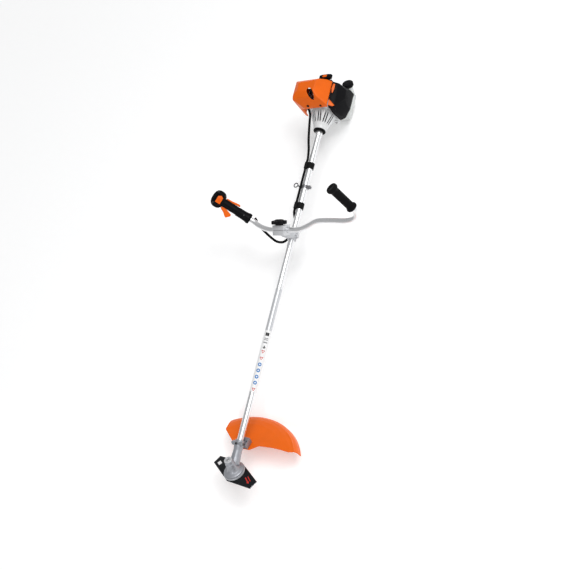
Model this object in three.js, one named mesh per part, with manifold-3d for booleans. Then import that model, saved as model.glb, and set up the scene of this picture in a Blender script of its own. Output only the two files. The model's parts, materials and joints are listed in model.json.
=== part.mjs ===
// Brush mower: a petrol brushcutter with a bike handle and a two-wing blade.
// Millimetres. +X runs forward along the drive tube, +Y to the machine's left, +Z up.
// Everything is laid out from the crossing of the tube's axis and the handlebar clamp;
// the last lines move the whole machine so that it stands on z = 0, centred over the origin.

import * as THREE from 'three';
import { mergeVertices } from 'three/addons/utils/BufferGeometryUtils.js';
import Module from 'manifold-3d';

// ---- driving dimensions -------------------------------------------------------------------
const GAP = 0.3; // clearance between pieces that touch
const GROUND = -148; // the machine lies on this height below the tube's axis

const TUBE = { r: 13, bore: 11, rear: -498, front: 915 };
const DRIVE_SHAFT_R = 4;

const GEAR = { x: 972, lean: 30, flangeR: 42.6 }; // crossing of the gear axes, blade axis lean
const PINION_TEETH = 10;
const CROWN_TEETH = 14;
const BLADE = { r: 115, halfWidth: 43, thick: 3.2, top: -17 };
const GUARD = { rimR: 261, top: 20, thick: 3 };

const BAR = { r: 11, centre: [26, 0, 80] }; // handlebar tube, and its axis in the clamp
const CLAMP = { width: 58, lean: 30 };

const HANDLE_LOW = [-13, -163, 100]; // lower and upper end of the control handle's axis
const HANDLE_TOP = [-56, -278, 235];
const GRIP_LOW = [-22, 350, 167]; // the same for the plain grip
const GRIP_TOP = [-46, 313, 281];

const CABLE_R = 5.3;

const ENGINE = { cylinderX: -624, crankR: 15, boreR: 19 };
const FLYWHEEL_R = 48;
const PULLEY_R = 30;
const FIN_R = 31.6;

const COLOUR = {
  orange: 0xf26a10, black: 0x17181a, white: 0xe6e6e4, tank: 0xd9dcda, alloy: 0xa9adb3,
  castGrey: 0x8f949b, steel: 0xb9bcc0, tube: 0xd5d8da, rubber: 0x202224, brass: 0xb08d4a,
  blade: 0x2a2c2f, foam: 0x6b6f66,
};

// ---- solids: three.js geometry in, manifold booleans, three.js geometry out ------------------
const wasm = await Module();
wasm.setup();

function signedVolume(position, index) {
  let sum = 0;
  const corner = (i) => new THREE.Vector3().fromArray(position, 3 * i);
  for (let i = 0; i < index.length; i += 3) {
    sum += corner(index[i]).dot(corner(index[i + 1]).cross(corner(index[i + 2])));
  }
  return sum;
}

function solid(geometry) {
  const bare = geometry.clone();
  for (const name of Object.keys(bare.attributes)) {
    if (name !== 'position') bare.deleteAttribute(name);
  }
  const merged = mergeVertices(bare, 1e-4);
  const position = merged.attributes.position.array;
  const raw = merged.index.array;
  const kept = [];
  for (let i = 0; i < raw.length; i += 3) {
    const [a, b, c] = [raw[i], raw[i + 1], raw[i + 2]];
    if (a !== b && b !== c && c !== a) kept.push(a, b, c);
  }
  if (signedVolume(position, kept) < 0) kept.reverse();
  const triVerts = Uint32Array.from(kept);
  return new wasm.Manifold(new wasm.Mesh({ numProp: 3, vertProperties: position, triVerts }));
}

function surface(body) {
  const mesh = body.getMesh();
  const geometry = new THREE.BufferGeometry();
  geometry.setAttribute('position', new THREE.BufferAttribute(mesh.vertProperties, 3));
  geometry.setIndex(new THREE.BufferAttribute(mesh.triVerts, 1));
  geometry.computeVertexNormals();
  return geometry;
}

const join = (...parts) => surface(parts.map(solid).reduce((a, b) => a.add(b)));
const cut = (part, ...tools) => surface(tools.map(solid).reduce((a, b) => a.subtract(b), solid(part)));
const common = (a, b) => surface(solid(a).intersect(solid(b)));

// ---- plain shapes -----------------------------------------------------------------------------
const AXIS = {
  x: new THREE.Vector3(1, 0, 0), y: new THREE.Vector3(0, 1, 0), z: new THREE.Vector3(0, 0, 1),
};

const vec = (a) => (Array.isArray(a) ? new THREE.Vector3(...a) : a.clone());

function basis(origin, xAxis, yAxis, zAxis) {
  return new THREE.Matrix4().makeBasis(xAxis, yAxis, zAxis).setPosition(vec(origin));
}

// turns a shape built along +Z so that +Z points along a direction, then moves it
function aim(geometry, origin, direction) {
  const turn = new THREE.Quaternion().setFromUnitVectors(AXIS.z, vec(direction).normalize());
  return geometry.applyQuaternion(turn).translate(...vec(origin).toArray());
}

// an extrusion drawn in (x, z) that runs along +Y
const DRAWN_XZ = (y) => basis([0, y, 0], AXIS.x, AXIS.z, AXIS.y);
// an extrusion drawn in (y, z) that runs along +X
const DRAWN_YZ = (x) => basis([x, 0, 0], AXIS.y, AXIS.z, AXIS.x);

function box(lo, hi) {
  const size = hi.map((v, i) => v - lo[i]);
  const centre = hi.map((v, i) => (v + lo[i]) / 2);
  return new THREE.BoxGeometry(...size).translate(...centre);
}

function rod(r, length, sides = 24, tipR = r) {
  const geometry = new THREE.CylinderGeometry(tipR, r, length, sides);
  return geometry.rotateX(Math.PI / 2).translate(0, 0, length / 2);
}

function rodAt(r, from, to, sides = 24, tipR = r) {
  const a = vec(from);
  const b = vec(to);
  return aim(rod(r, a.distanceTo(b), sides, tipR), a, b.sub(a));
}

function ring(outer, inner, length, sides = 24) {
  const profile = [[inner, 0], [outer, 0], [outer, length], [inner, length], [inner, 0]];
  return turned(profile, sides);
}

// a profile of (radius, height) pairs turned about +Z
function turned(profile, sides = 32) {
  const points = profile.map(([r, z]) => new THREE.Vector2(r, z));
  return new THREE.LatheGeometry(points, sides).rotateX(Math.PI / 2);
}

function turnedX(profile, sides = 32) {
  // pairs are (radius, x)
  return aim(turned(profile, sides), [0, 0, 0], AXIS.x);
}

function prism(outline, length) {
  const shape = new THREE.Shape(outline.map(([x, y]) => new THREE.Vector2(x, y)));
  return new THREE.ExtrudeGeometry(shape, { depth: length, bevelEnabled: false });
}

function roundedOutline(halfX, halfY, r, steps = 3) {
  const corners = [[1, 1, 0], [-1, 1, 1], [-1, -1, 2], [1, -1, 3]];
  return corners.flatMap(([sx, sy, quarter]) => Array.from({ length: steps + 1 }, (_, i) => {
    const angle = (quarter + i / steps) * Math.PI / 2;
    return [sx * (halfX - r) + r * Math.cos(angle), sy * (halfY - r) + r * Math.sin(angle)];
  }));
}

function obround(length, width, depth, steps = 6) {
  const r = width / 2;
  const end = length / 2 - r;
  const arc = (cx, start) => Array.from({ length: steps + 1 }, (_, i) => {
    const angle = start + (Math.PI * i) / steps;
    return [cx + r * Math.cos(angle), r * Math.sin(angle)];
  });
  return prism([...arc(end, -Math.PI / 2), ...arc(-end, Math.PI / 2)], depth);
}

// rings with the same number of points, joined by walls and closed at both ends
function loft(rings) {
  const count = rings[0].length;
  const position = rings.flat(2);
  const index = [];
  for (let k = 0; k + 1 < rings.length; k += 1) {
    for (let i = 0; i < count; i += 1) {
      const a = k * count + i;
      const b = k * count + ((i + 1) % count);
      index.push(a, b, b + count, a, b + count, a + count);
    }
  }
  for (const [k, flip] of [[0, true], [rings.length - 1, false]]) {
    const middle = position.length / 3;
    const total = rings[k].reduce((sum, p) => sum.map((v, j) => v + p[j] / count), [0, 0, 0]);
    position.push(...total);
    for (let i = 0; i < count; i += 1) {
      const pair = [k * count + i, k * count + ((i + 1) % count)];
      if (flip) pair.reverse();
      index.push(...pair, middle);
    }
  }
  const geometry = new THREE.BufferGeometry();
  geometry.setAttribute('position', new THREE.Float32BufferAttribute(position, 3));
  geometry.setIndex(index);
  return geometry;
}

// a round tube along a smooth curve through the points
function hose(points, r, steps, sides = 12, tension = 0.5) {
  const path = new THREE.CatmullRomCurve3(points.map(vec), false, 'catmullrom', tension);
  const section = new THREE.Shape();
  section.absarc(0, 0, r, 0, 2 * Math.PI, false);
  const options = { steps, curveSegments: sides / 2, extrudePath: path, bevelEnabled: false };
  return new THREE.ExtrudeGeometry(section, options);
}

// a bevel gear whose teeth narrow towards the cone's tip; the large end is at z = 0
function bevelGear(teeth, bigR, depth, shrink, length, backLength) {
  const outline = [];
  const pitch = (2 * Math.PI) / teeth;
  for (let i = 0; i < teeth; i += 1) {
    for (const [fraction, r] of [[-0.26, bigR - depth], [-0.13, bigR], [0.13, bigR], [0.26, bigR - depth]]) {
      const angle = (i + fraction) * pitch;
      outline.push([r * Math.cos(angle), r * Math.sin(angle)]);
    }
  }
  const at = (scale, z) => outline.map(([x, y]) => [x * scale, y * scale, z]);
  return loft([at(0.9, -backLength), at(1, 0), at(shrink, length)]);
}

// ---- scene graph --------------------------------------------------------------------------------
const machine = new THREE.Group();

function finish(colour, roughness, metalness = 0) {
  return new THREE.MeshStandardMaterial({ color: COLOUR[colour], roughness, metalness });
}

const FINISH = {
  orange: finish('orange', 0.42), black: finish('black', 0.55), white: finish('white', 0.5),
  tank: finish('tank', 0.45), alloy: finish('alloy', 0.45, 0.8), castGrey: finish('castGrey', 0.5, 0.6),
  steel: finish('steel', 0.3, 1), tube: finish('tube', 0.28, 0.9), rubber: finish('rubber', 0.8),
  brass: finish('brass', 0.4, 1), blade: finish('blade', 0.4, 0.8), foam: finish('foam', 0.95),
};

function add(group, name, geometry, look) {
  const mesh = new THREE.Mesh(surface(solid(geometry)), FINISH[look]);
  mesh.name = name;
  group.add(mesh);
  return mesh;
}

// ---- engine: crank train ---------------------------------------------------------------------
const engine = new THREE.Group();
machine.add(engine);

const CRANKCASE = { rear: -652, front: -596, halfY: 34, low: -40, top: 34 };

function crankcase() {
  const { rear, front, halfY, low, top } = CRANKCASE;
  const shell = box([rear, -halfY, low], [front, halfY, top]);
  const chamber = rodAt(27.5, [rear + 9, 0, 0], [front - 9, 0, 0], 28);
  const bores = rodAt(9.3, [rear - 5, 0, 0], [front + 5, 0, 0], 20);
  const mouth = rodAt(ENGINE.boreR + 3.5, [ENGINE.cylinderX, 0, 5], [ENGINE.cylinderX, 0, top + 5], 24);
  add(engine, 'crankcase', cut(shell, chamber, bores, mouth), 'alloy');
}

function cylinder() {
  const base = CRANKCASE.top + GAP;
  const fins = 3;
  const profile = [[0, base], [31, base], [31, base + 5], [25, base + 7]];
  for (let i = 0; i < fins; i += 1) {
    const z = base + 16 + i * 16;
    profile.push([26, z], [FIN_R, z + 1], [FIN_R, z + 3], [26, z + 4]);
  }
  profile.push([26, 106], [18, 111], [0, 112]);
  const body = turned(profile, 16).translate(ENGINE.cylinderX, 0, 0);
  const bore = rodAt(ENGINE.boreR, [ENGINE.cylinderX, 0, base - 2], [ENGINE.cylinderX, 0, 100], 24);
  const plugSeat = rodAt(10.5, PLUG.seat, vec(PLUG.seat).addScaledVector(PLUG.direction, 40), 16);
  add(engine, 'cylinder', cut(body, bore, plugSeat), 'alloy');
}

const PLUG = { seat: [-609, 0, 106], direction: new THREE.Vector3(0.55, 0, 0.835).normalize() };

function sparkPlug() {
  const profile = [[0, 0.5], [7, 0.5], [9, 2], [9, 8], [5.5, 10], [4.2, 12], [3.6, 22], [0, 23]];
  add(engine, 'spark_plug', aim(turned(profile, 12), PLUG.seat, PLUG.direction), 'white');
  const cap = [[6.2, 10.8], [8.6, 10.8], [9.2, 16], [8.4, 24], [5, 28], [0, 28.6],
    [0, 24], [4.4, 23.4], [4.6, 13], [6.2, 10.8]];
  add(engine, 'plug_boot', aim(turned(cap, 14), PLUG.seat, PLUG.direction), 'rubber');
}

function pistonAndRod() {
  const x = ENGINE.cylinderX;
  const crown = turned([[0, 98], [18.6, 98], [18.6, 70], [15, 70], [15, 91], [0, 91]], 18);
  add(engine, 'piston', crown.translate(x, 0, 0), 'alloy');
  const eye = (z, outer, inner) => [
    rodAt(outer, [x - 4, 0, z], [x + 4, 0, z], 18), rodAt(inner, [x - 6, 0, z], [x + 6, 0, z], 14),
  ];
  const [bigEye, bigHole] = eye(ENGINE.crankR, 9.5, 6.3);
  const [smallEye, smallHole] = eye(80, 7, 4);
  const beam = box([x - 2.5, -4, ENGINE.crankR + 6], [x + 2.5, 4, 76]);
  const body = join(bigEye, smallEye, beam);
  add(engine, 'connecting_rod', cut(body, bigHole, smallHole), 'steel');
}

function crankshaft() {
  const x = ENGINE.cylinderX;
  const web = (from, to) => {
    const disc = rodAt(26, [from, 0, 0], [to, 0, 0], 20);
    const relief = box([from - 1, -30, 12], [to + 1, -13, 30]);
    return cut(disc, relief, relief.clone().scale(1, -1, 1));
  };
  const frontShaft = rodAt(7.5, [x + 14, 0, 0], [-541, 0, 0], 20);
  const rearShaft = rodAt(7.5, [-657, 0, 0], [x - 14, 0, 0], 20);
  add(engine, 'crankshaft_front', join(web(x + 5, x + 14), frontShaft), 'steel');
  add(engine, 'crankshaft_rear', join(web(x - 14, x - 5), rearShaft), 'steel');
}

function flywheel() {
  const profile = [[7.8, -590], [20, -590], [20, -588], [FLYWHEEL_R, -588], [FLYWHEEL_R, -574],
    [20, -574], [16, -566], [7.8, -566], [7.8, -590]];
  const wheel = turnedX(profile, 24);
  const vane = () => box([-575, -1.5, 19], [-565, 1.5, FLYWHEEL_R - 2]);
  const vanes = Array.from({ length: 8 }, (_, i) => vane().rotateX((i * Math.PI) / 4));
  add(engine, 'flywheel', join(wheel, ...vanes), 'alloy');
}

function clutch() {
  const shoe = (side) => {
    const sector = rodAt(26.5, [-556, 0, 0], [-541.5, 0, 0], 20);
    const half = box([-560, side > 0 ? 2 : -40, -40], [-540, side > 0 ? 40 : -2, 40]);
    return common(sector, half);
  };
  const hub = rodAt(14, [-556, 0, 0], [-541.5, 0, 0], 20);
  const hole = rodAt(7.8, [-570, 0, 0], [-530, 0, 0], 20);
  add(engine, 'clutch_shoes', cut(join(shoe(1), shoe(-1), hub), hole), 'steel');
}

// ---- engine: housings --------------------------------------------------------------------------
function fanHousing() {
  const flange = prism(roundedOutline(60, 64, 16), 27).applyMatrix4(DRAWN_YZ(-592));
  flange.translate(0, 0, 4);
  const bell = turnedX([[0, -566], [57, -566], [55, -558], [49, -541], [43, -526], [36, -510],
    [30, -497], [27, -483], [0, -483]], 24);
  const ear = rodAt(11, [-566, 42, -50], [-551, 42, -50], 16);
  const web = box([-566, 20, -60], [-558, 56, -30]);
  const cavity = turnedX([[0, -600], [52, -600], [52, -561], [45, -541], [38.5, -526], [32, -519],
    [19.4, -518.5], [19.4, -505.5], [TUBE.r + GAP, -499], [TUBE.r + GAP, -470], [0, -470]], 20);
  const modulePocket = box([-600, -20, 44], [-570, 20, 63]);
  const screwHole = rodAt(3, [-570, 42, -50], [-540, 42, -50], 10);
  const slots = [-60, -24, 12, 48, 84].flatMap((angle) => [-5, 5].map((side) => {
    const slot = obround(37, 4.6, 30, 1).rotateY(0.36).translate(-532, side, 28);
    return slot.rotateX((-angle * Math.PI) / 180);
  }));
  const shell = cut(join(flange, bell, ear, web), cavity, modulePocket, screwHole, ...slots);
  add(engine, 'fan_housing', shell, 'white');
}

function ignitionModule() {
  add(engine, 'ignition_module', box([-590, -17, 49.5], [-575, 17, 60]), 'black');
}

function starterHousing() {
  const shell = turnedX([[64, -658.5], [67, -658.5], [67, -674], [56, -687], [30, -692], [0, -692.5],
    [0, -689], [54, -684], [64, -673], [64, -658.5]], 24);
  const post = rodAt(5, [-690, 0, 0], [-669, 0, 0], 16);
  const outlet = box([-691, 23, 48], [-665, 43, 68]);
  const ropeHole = rodAt(3, [-680, 33, 30], [-680, 33, 80], 12);
  const trim = turnedX([[0, -650], [63, -650], [63, -673], [53, -683.5], [0, -688.5]], 24);
  const boss = cut(outlet, trim);
  const body = cut(join(shell, post, boss), ropeHole);
  add(engine, 'starter_housing', body, 'black');
}

function starterRope() {
  const profile = [[PULLEY_R, -683.5], [PULLEY_R, -681], [PULLEY_R - 5, -679.5], [PULLEY_R - 5, -675],
    [PULLEY_R, -673.5], [PULLEY_R, -671], [5.3, -671], [5.3, -683.5], [PULLEY_R, -683.5]];
  add(engine, 'rope_pulley', turnedX(profile, 18), 'black');
  add(engine, 'starter_rope', rodAt(1.9, [-680, 33, 50], [-680, 33, 70.2], 8), 'rubber');
}

function starterGrip() {
  const z = 101;
  const outline = [[-31, z], [-29, z - 7], [-20, z - 9], [-9, z - 10], [-6, 70.6], [6, 70.6], [9, z - 10],
    [20, z - 9], [29, z - 7], [31, z], [28, z + 6], [16, z + 9], [-16, z + 9], [-28, z + 6]];
  const bar = prism(outline, 16).applyMatrix4(DRAWN_YZ(-688)).translate(0, 33, 0);
  add(engine, 'starter_grip', cut(bar, rodAt(2.2, [-680, 33, 60], [-680, 33, 76], 8)), 'black');
}

const SHROUD_SIDE = [[-667, -4], [-667, 102], [-656, 129], [-638, 142], [-596, 142], [-572, 124],
  [-551, 84], [-549, 70], [-565, 60], [-565, -4]];
const SHROUD_END = [[-98, -4], [-98, 112], [-91, 130], [-66, 142], [14, 138], [61.5, 86], [61.5, -4]];

function shroud() {
  const side = (outline, lo, hi) => prism(outline, hi - lo).applyMatrix4(DRAWN_XZ(lo));
  const end = (outline, lo, hi) => prism(outline, hi - lo).applyMatrix4(DRAWN_YZ(lo));
  // the front right corner slopes back: half as deep as it is wide
  const corner = (x) => prism([[x, -100], [-500, -100], [-500, -6], [x + 47, -6]], 200).translate(0, 0, -30);
  const outer = cut(common(side(SHROUD_SIDE, -120, 90), end(SHROUD_END, -700, -500)), corner(-573));
  const innerSide = [[-664, -20], [-664, 101], [-654, 127], [-637, 139], [-597, 139], [-574.5, 122],
    [-554, 83], [-552, 66], [-568, 56], [-568, -20]];
  const innerEnd = [[-95, -20], [-95, 111], [-88.5, 128], [-65, 139], [13, 135], [63, 79], [63, -20]];
  const inner = cut(common(side(innerSide, -95, 70), end(innerEnd, -690, -500)), corner(-577));
  const openLeft = box([-700, -58, -20], [-500, 80, 70]);
  const openFront = prism([[-50, 60], [-68, 60], [-83, -20], [-50, -20]], 72).applyMatrix4(DRAWN_YZ(-572));
  const openRear = box([-700, -72, -20], [-660, 80, 72]);
  const plugHole = obround(44, 19, 60).rotateZ(0.55).translate(-586, -3, 105);
  const groove = box([-600, -40, 140.5], [-560, -36, 150]);
  const leftSkirt = box([-700, 60, -20], [-500, 90, 70]);
  const body = cut(outer, inner, openLeft, openFront, openRear, plugHole, groove, leftSkirt);
  add(engine, 'engine_shroud', body, 'orange');
}

// rear top, front top, front middle, front bottom, rear bottom, rear middle, from the seam outwards
const COVER_SEAM = 62;
const COVER_RINGS = [
  [COVER_SEAM, [[-666, 85], [-551, 76], [-547, 20], [-556, -46], [-683, -46], [-683, 20]]],
  [86, [[-664, 71], [-556, 62], [-549, 14], [-564, -44], [-682, -44], [-682, 10]]],
  [105, [[-655, 30], [-615, 26], [-600, 0], [-598, -34], [-679, -35], [-676, 0]]],
];

function coverRings(shrink, yScale) {
  return COVER_RINGS.map(([y, points]) => {
    const cx = points.reduce((sum, p) => sum + p[0], 0) / points.length;
    const cz = points.reduce((sum, p) => sum + p[1], 0) / points.length;
    const pull = (v, c) => v - Math.sign(v - c) * shrink;
    return points.map(([x, z]) => [pull(x, cx), COVER_SEAM + (y - COVER_SEAM) * yScale, pull(z, cz)]);
  });
}

function filterCover() {
  const mouth = COVER_RINGS[0][1].map(([x, z]) => [x * 0.99 - 6.3, COVER_SEAM - 12, z * 0.9]);
  const hollow = loft([mouth, ...coverRings(3.2, 0.93)]);
  const shell = cut(loft(coverRings(0, 1)), hollow);
  add(engine, 'filter_cover', shell, 'black');
  const element = prism(roundedOutline(29, 22, 8, 2), 22).applyMatrix4(DRAWN_XZ(66));
  add(engine, 'filter_element', element.translate(-625, 0, 18), 'foam');
}

function carburettor() {
  const x = -632;
  const body = join(
    box([x - 16, 40, 32], [x + 16, 62, 62]),
    rodAt(9, [x, 61, 46], [x, 65.6, 46], 16),
    rodAt(7, [x + 15, 50, 48], [x + 22, 50, 48], 12),
  );
  const throat = rodAt(6.5, [x, 30, 46], [x, 70, 46], 14);
  add(engine, 'carburettor', cut(body, throat), 'alloy');
}

function muffler() {
  const shell = prism(roundedOutline(27, 39, 9, 2), 46).applyMatrix4(DRAWN_XZ(-92));
  shell.translate(-624, 0, 44);
  const inside = prism(roundedOutline(25, 37, 8, 2), 42).applyMatrix4(DRAWN_XZ(-90));
  inside.translate(-624, 0, 44);
  const outlet = rodAt(6, [-605, -80, 20], [-590, -80, 14], 12);
  const inlet = rodAt(8, [-624, -60, 50], [-624, -40, 50], 12);
  add(engine, 'muffler', cut(shell, inside, outlet, inlet), 'steel');
}

function coverClip() {
  const corners = [[-580, 63, 79.5], [-553.5, 63, 77.4], [-552, 79, 67.2], [-558, 86, 62.9]];
  const normal = new THREE.Vector3(0.08, 0.51, 0.86).normalize();
  const lift = (h) => corners.map((c) => vec(c).addScaledVector(normal, h).toArray());
  add(engine, 'cover_clip', loft([lift(0.8), lift(4.2)]), 'orange');
}

const CHOKE = {
  pivot: new THREE.Vector3(-648, 70.5, 79.6), normal: new THREE.Vector3(0.06, 0.51, 0.86).normalize(),
};

function chokeLever() {
  const outline = [[-5, -4], [5, -5], [18, -6.5], [36, -2], [38, 0], [36, 2], [18, 5], [5, 5], [-5, 4]];
  const lever = prism(outline, 4.5);
  const xAxis = AXIS.x.clone().addScaledVector(CHOKE.normal, -CHOKE.normal.x).normalize();
  const yAxis = new THREE.Vector3().crossVectors(CHOKE.normal, xAxis);
  const place = basis(CHOKE.pivot.clone().addScaledVector(CHOKE.normal, 1.6), xAxis, yAxis, CHOKE.normal);
  add(engine, 'choke_lever', lever.applyMatrix4(place), 'orange');
}

const FILLER = {
  base: new THREE.Vector3(-717, 57, -76), axis: new THREE.Vector3(-0.36, 0.1, 0.928).normalize(),
};

function fuelTank() {
  const section = (shrink) => [[-50 + shrink, -134 + shrink], [50 - shrink, -134 + shrink],
    [70 - shrink, -112], [70 - shrink, -78], [63 - shrink, -70 - shrink], [-63 + shrink, -70 - shrink],
    [-70 + shrink, -78], [-70 + shrink, -112]];
  const length = [[-726, -128], [-726, -76], [-720, -68], [-604, -68], [-597, -76], [-600, -108],
    [-620, -136], [-716, -136]];
  const profile = (shrink) => {
    const [cx, cz] = [-662, -102];
    return length.map(([x, z]) => [x - Math.sign(x - cx) * shrink, z - Math.sign(z - cz) * shrink]);
  };
  const body = (shrink) => common(
    prism(section(shrink), 160).applyMatrix4(DRAWN_YZ(-740)),
    prism(profile(shrink), 160).applyMatrix4(DRAWN_XZ(-80)),
  );
  const along = (d) => FILLER.base.clone().addScaledVector(FILLER.axis, d);
  const neck = rodAt(19, along(-8), along(44), 20);
  const mouth = rodAt(15, along(-14), along(60), 16);
  add(engine, 'fuel_tank', cut(join(body(0), neck), body(2.5), mouth), 'tank');

  const skirt = ring(23, 19.5, 14, 16).translate(0, 0, 36);
  const ribs = Array.from({ length: 8 }, (_, i) => {
    const rib = box([21, -2.4, 38], [24.5, 2.4, 52]);
    return rib.rotateZ((i * Math.PI) / 4);
  });
  const lid = rod(23, 8, 16, 21).translate(0, 0, 46);
  const plug = rod(14.4, 14, 16).translate(0, 0, 33);
  add(engine, 'fuel_cap', aim(join(lid, skirt, plug, ...ribs), FILLER.base, FILLER.axis), 'black');
}

function engineStand() {
  const plate = box([-704, -46, -138.6], [-628, 46, -134.6]);
  const rail = (y) => box([-700, y - 6, GROUND], [-632, y + 6, -138]);
  const hook = box([-640, -20, -138.5], [-628, 20, -136]);
  add(engine, 'engine_stand', join(plate, rail(36), rail(-36), hook), 'black');
}

// ---- drive tube and what hangs on it --------------------------------------------------------------
function driveTube() {
  const { r, bore, rear, front } = TUBE;
  const profile = [[bore, rear], [r, rear], [r, front], [bore, front], [bore, rear]];
  add(machine, 'drive_tube', turnedX(profile, 24), 'tube');
  const collar = turnedX([[r + GAP, -482.6], [26, -482.6], [27, -476], [25, -473], [17, -472],
    [r + GAP, -469], [r + GAP, -482.6]], 22);
  add(machine, 'shaft_collar', collar, 'rubber');
  const middle = 210;
  const bush = turnedX([[4.4, middle - 25], [10.7, middle - 25], [10.7, middle + 25], [4.4, middle + 25],
    [4.4, middle - 25]], 20);
  add(machine, 'shaft_bush', bush, 'brass');
}

function driveLine() {
  const drum = turnedX([[DRIVE_SHAFT_R + GAP, -533], [28, -533], [28, -557], [30.5, -557], [30.5, -530],
    [10, -528], [10, -505], [DRIVE_SHAFT_R + GAP, -505], [DRIVE_SHAFT_R + GAP, -533]], 22);
  add(machine, 'clutch_drum', drum, 'steel');
  const bearing = turnedX([[10.3, -517], [19, -517], [19, -507], [10.3, -507], [10.3, -517]], 18);
  add(machine, 'clutch_bearing', bearing, 'steel');
  add(machine, 'drive_shaft', rodAt(DRIVE_SHAFT_R, [-531, 0, 0], [GEAR.x - 27, 0, 0], 16), 'steel');
}

const STRAP = { length: 28, cable: [-15.4, 11.6] };

function strap(name, x) {
  const [y, z] = STRAP.cable;
  const wrap = (grow, from, to) => {
    const around = rodAt(TUBE.r + grow, [from, 0, 0], [to, 0, 0], 20);
    const cable = rodAt(CABLE_R + grow, [from, y, z], [to, y, z], 12);
    const half = CABLE_R + grow - 0.6;
    const waist = box([from, 0, -half], [to, 18, half]).rotateX(Math.atan2(z, y));
    return join(around, cable, waist);
  };
  const end = x + STRAP.length;
  add(machine, name, cut(wrap(2.6, x, end), wrap(GAP, x - 5, end + 5)), 'rubber');
}

function carryingRing() {
  const x = -214;
  const mid = x + 6.5;
  const band = rodAt(TUBE.r + 3.4, [x, 0, 0], [x + 13, 0, 0], 20);
  const ears = [box([x + 1, 12, -8], [x + 12, 27, -2.5]), box([x + 1, 12, 0.5], [x + 12, 27, 6])];
  const screw = rodAt(3.2, [mid, 21, -13], [mid, 21, 11], 8);
  const stem = rodAt(3.4, [mid, -14, -3], [mid, -25, 8], 8);
  const upright = rodAt(3, [mid, -25, 6], [mid, -24, 22], 8);
  const eye = new THREE.TorusGeometry(9.5, 2.6, 6, 14).translate(mid, -33, 22);
  const bore = rodAt(TUBE.r + 0.5, [x - 10, 0, 0], [x + 30, 0, 0], 20);
  const [y, z] = STRAP.cable;
  const cableRoom = rodAt(CABLE_R + 0.6, [x - 20, y, z], [x + 30, y, z], 10);
  add(machine, 'carrying_ring', cut(join(band, ...ears, screw, stem, upright, eye), bore, cableRoom), 'steel');
}

// ---- handlebar clamp ---------------------------------------------------------------------------------
const leanRad = (CLAMP.lean * Math.PI) / 180;
const knobDirection = new THREE.Vector3(-Math.cos(leanRad), 0, Math.sin(leanRad));
const acrossClamp = new THREE.Vector3(Math.sin(leanRad), 0, Math.cos(leanRad));
const clamp = new THREE.Group(); // local x across the clamp, y along the bar, z towards the knob
clamp.applyMatrix4(basis(BAR.centre, acrossClamp, AXIS.y, knobDirection));
machine.add(clamp);
const CLAMP_BOLT_X = 20;

function clampBlocks() {
  const half = CLAMP.width / 2;
  const barHole = rodAt(BAR.r + 0.5, [0, -60, 0], [0, 60, 0], 20);
  const boltHole = rod(4.4, 90, 14).translate(CLAMP_BOLT_X, 0, -45);
  const cap = prism(roundedOutline(25, half, 6, 2), 19).translate(7, 0, 0.6);
  add(clamp, 'clamp_cap', cut(cap, barHole, boltHole), 'castGrey');
  const jaw = prism(roundedOutline(25, half, 6, 2), 20).translate(7, 0, -20.6);
  clamp.updateMatrixWorld(true);
  const toWorld = clamp.matrixWorld;
  const jawHere = cut(jaw, barHole, boltHole).applyMatrix4(toWorld);
  const side = [[-6, 14], [34, 14], [44, 48], [46, 76], [33, 84], [22, 60], [6, 40], [-6, 22]];
  const arm = prism(side, 24).applyMatrix4(DRAWN_XZ(-12));
  const sleeve = rodAt(TUBE.r + 6, [-8, 0, 0], [36, 0, 0], 20);
  const lugs = box([2, 12, -6], [26, 28, 6]);
  const slit = box([-20, 10, -1.2], [60, 40, 1.2]);
  const bolt = rodAt(3.4, [14, 22, -10], [14, 22, 10], 12);
  const tubeHole = rodAt(TUBE.r + 0.5, [-20, 0, 0], [60, 0, 0], 20);
  const clearBar = barHole.clone().applyMatrix4(toWorld);
  const capClear = prism(roundedOutline(27, half + 4, 6, 2), 60).translate(7, 0, 0.1).applyMatrix4(toWorld);
  const boltClear = boltHole.clone().applyMatrix4(toWorld);
  const armCut = cut(join(arm, sleeve, lugs), tubeHole, slit, clearBar, capClear, boltClear);
  add(machine, 'bar_bracket', join(armCut, cut(jawHere, tubeHole), bolt), 'castGrey');
}

function clampKnob() {
  const lobes = 8;
  const outline = Array.from({ length: lobes * 3 }, (_, i) => {
    const angle = (2 * Math.PI * i) / (lobes * 3);
    const r = 30 + 2 * Math.cos(lobes * angle);
    return [r * Math.cos(angle), r * Math.sin(angle)];
  });
  const star = prism(outline, 15);
  const neck = rod(16, 4, 20).translate(0, 0, -3.5);
  const dome = rod(20, 5, 20, 12).translate(0, 0, 14.5);
  const bolt = rod(4, 49, 14).translate(0, 0, -52);
  const knob = join(star, neck, dome, bolt).translate(CLAMP_BOLT_X, 0, 24);
  add(clamp, 'clamp_knob', knob, 'black');
}

// ---- handlebar, grips and controls -----------------------------------------------------------------------
const handleAxis = vec(HANDLE_TOP).sub(vec(HANDLE_LOW)).normalize();
const gripAxis = vec(GRIP_TOP).sub(vec(GRIP_LOW)).normalize();
const onHandle = (d) => vec(HANDLE_LOW).addScaledVector(handleAxis, d);
const onGrip = (d) => vec(GRIP_LOW).addScaledVector(gripAxis, d);

const BAR_PATH = [
  onHandle(70), onHandle(48), onHandle(24), [-6, -146, 92], [8, -121, 85], [20, -88, 81], [26, -56, 80],
  [26, -32, 80], BAR.centre, [26, 32, 80], [26, 56, 80], [24, 86, 81], [15, 124, 91], [3, 158, 101],
  [-1, 185, 105], [0, 240, 107], [2, 296, 108], [-2, 330, 114], [-9, 351, 129], onGrip(-18),
  onGrip(0), onGrip(50), onGrip(100),
];

const barAlong = (r) => hose(BAR_PATH, r, 44, 10);

function handlebar() {
  add(machine, 'handlebar', barAlong(BAR.r), 'tube');
}

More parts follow.
